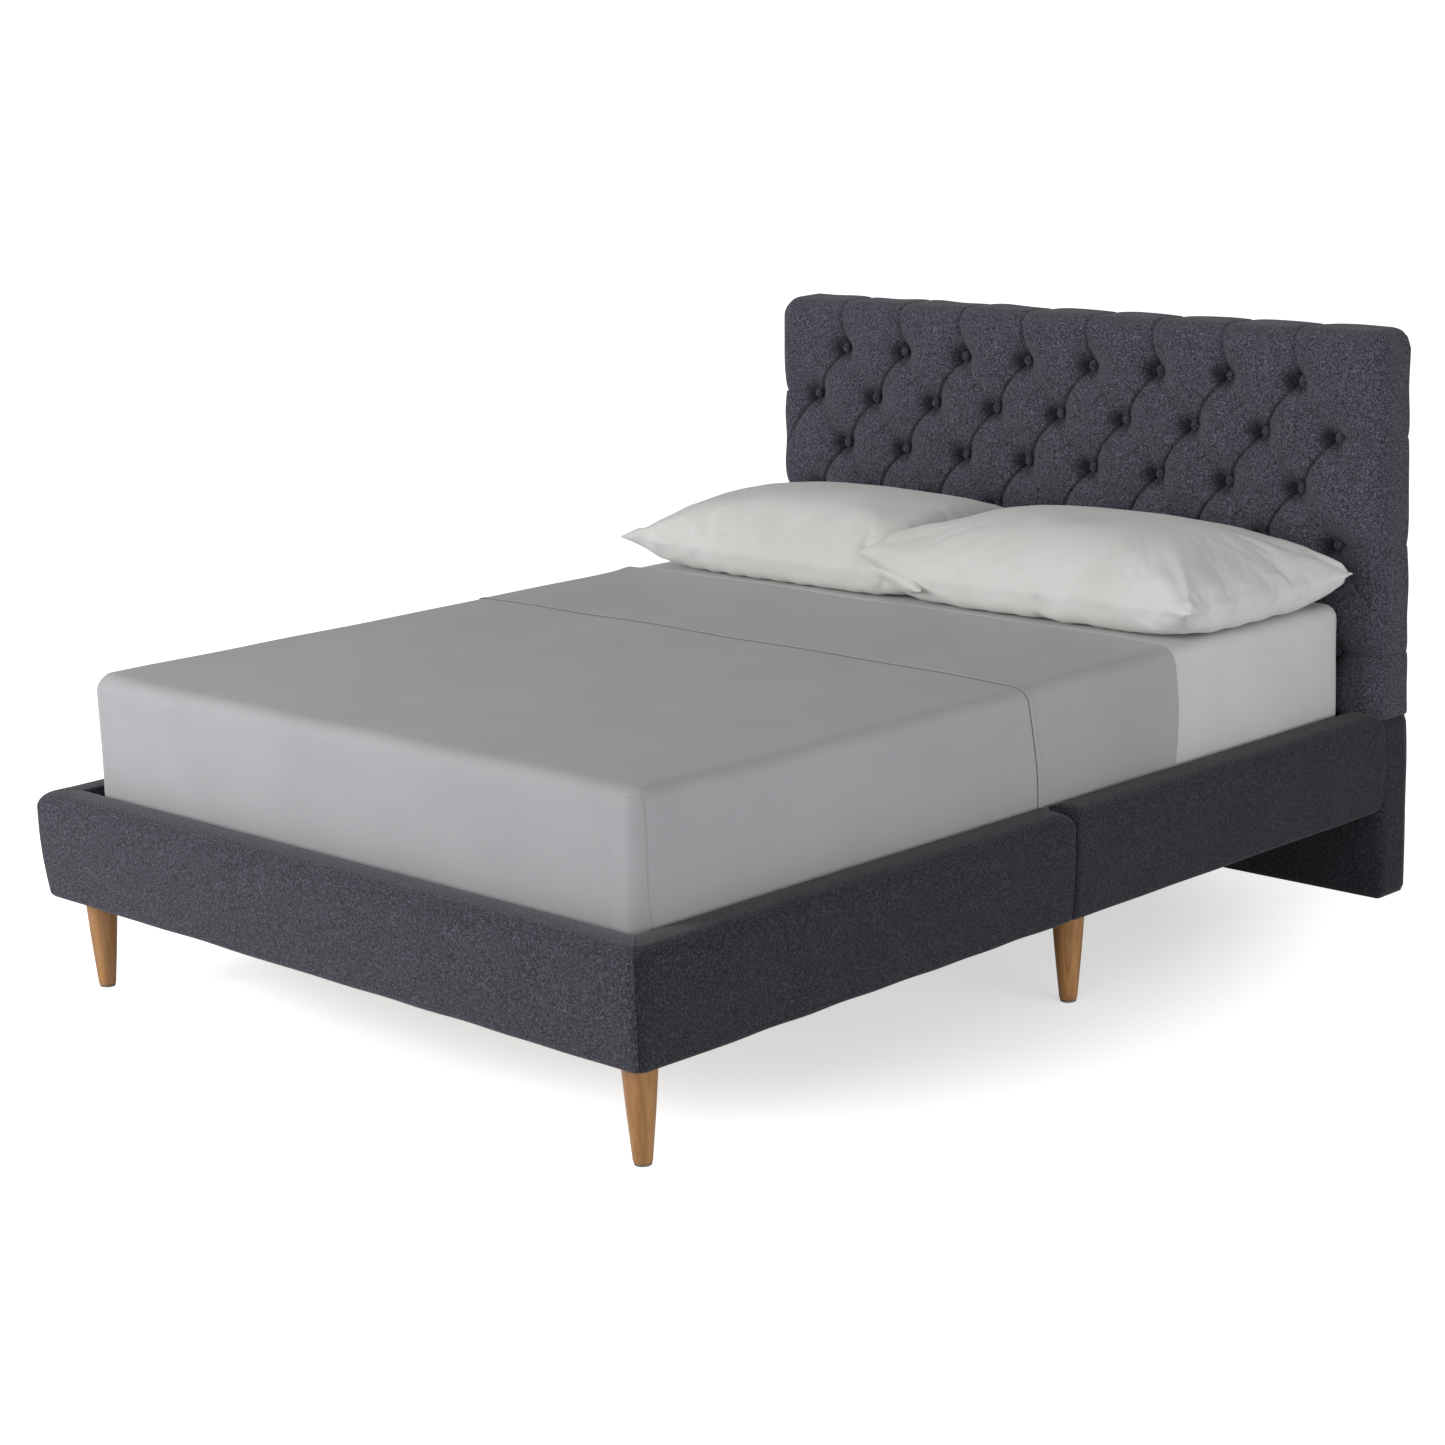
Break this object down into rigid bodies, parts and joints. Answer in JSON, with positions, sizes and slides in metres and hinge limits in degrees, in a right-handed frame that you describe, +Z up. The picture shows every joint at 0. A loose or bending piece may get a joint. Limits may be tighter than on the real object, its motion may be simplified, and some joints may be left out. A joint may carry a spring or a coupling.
{
  "type": "upholstered headboard bed",
  "caption": "Low bed with a deep-buttoned fabric headboard, padded split rails on turned wooden legs, a slatted base, mattress, sheets and pillows.",
  "frame": {"origin": "centre of the footprint, on the floor", "axes": "+Z up, +Y from the foot of the bed towards the headboard, +X to the right seen from the foot"},
  "size_m": [1.644, 2.18, 1.15],
  "materials": {
    "charcoal_weave": "matt heathered weave",
    "pine": "planed",
    "board": "raw fibreboard",
    "back_cloth": "matt non-woven",
    "slat_birch": "planed",
    "turned_wood": "satin lacquer",
    "glide_plastic": "moulded",
    "zinc_steel": "zinc plated",
    "black_steel": "powder coat",
    "ticking": "quilted",
    "ivory_cotton": "plain cotton",
    "grey_sheet": "smooth jersey"
  },
  "bodies": {
    "base": {"foot_rail_padding": "charcoal_weave", "headboard_pad": "charcoal_weave", "headboard_lower_cover": "charcoal_weave", "side_rail_front_right_padding": "charcoal_weave", "side_rail_front_left_padding": "charcoal_weave", "side_rail_rear_right_padding": "charcoal_weave", "side_rail_rear_left_padding": "charcoal_weave", "foot_rail_board": "pine", "side_rail_front_right_board": "pine", "side_rail_front_left_board": "pine", "side_rail_rear_right_board": "pine", "side_rail_rear_left_board": "pine", "crossbar_front": "pine", "crossbar_rear": "pine", "centre_beam": "pine", "slat_ledge_front_right": "pine", "slat_ledge_front_left": "pine", "slat_ledge_rear_right": "pine", "slat_ledge_rear_left": "pine", "corner_block_front_right": "pine", "corner_block_front_left": "pine", "corner_block_mid_right": "pine", "corner_block_mid_left": "pine", "headboard_post_right": "pine", "headboard_post_left": "pine", "headboard_panel": "board", "headboard_back_cloth": "back_cloth", "slat_01": "slat_birch", "slat_02": "slat_birch", "slat_03": "slat_birch", "slat_04": "slat_birch", "slat_05": "slat_birch", "slat_06": "slat_birch", "slat_07": "slat_birch", "slat_08": "slat_birch", "slat_09": "slat_birch", "slat_10": "slat_birch", "slat_11": "slat_birch", "slat_12": "slat_birch", "leg_front_right": "turned_wood", "leg_front_left": "turned_wood", "leg_mid_right": "turned_wood", "leg_mid_left": "turned_wood", "leg_glide_front_right": "glide_plastic", "leg_glide_front_left": "glide_plastic", "leg_glide_mid_right": "glide_plastic", "leg_glide_mid_left": "glide_plastic", "beam_hanger_foot": "zinc_steel", "beam_hanger_head": "zinc_steel", "joining_bolt_right": "zinc_steel", "joining_bolt_left": "zinc_steel", "headboard_bolt_right": "zinc_steel", "headboard_bolt_left": "zinc_steel", "centre_leg": "black_steel"},
    "bedding": {"mattress": "ticking", "fitted_sheet": "ivory_cotton", "flat_sheet": "grey_sheet"},
    "pillow_right": {"pillow_right": "ivory_cotton"},
    "pillow_left": {"pillow_left": "ivory_cotton"}
  },
  "joints": [
    {"name": "mattress_lift", "type": "slide", "parent": "base", "child": "bedding", "axis": [0, 0, 1], "range_m": [0, 0.35]},
    {"name": "pillow_right_lift", "type": "slide", "parent": "bedding", "child": "pillow_right", "axis": [0, 0, 1], "range_m": [0, 0.3]},
    {"name": "pillow_left_slide", "type": "slide", "parent": "bedding", "child": "pillow_left", "axis": [-1, 0, 0], "range_m": [0, 0.2]}
  ]
}
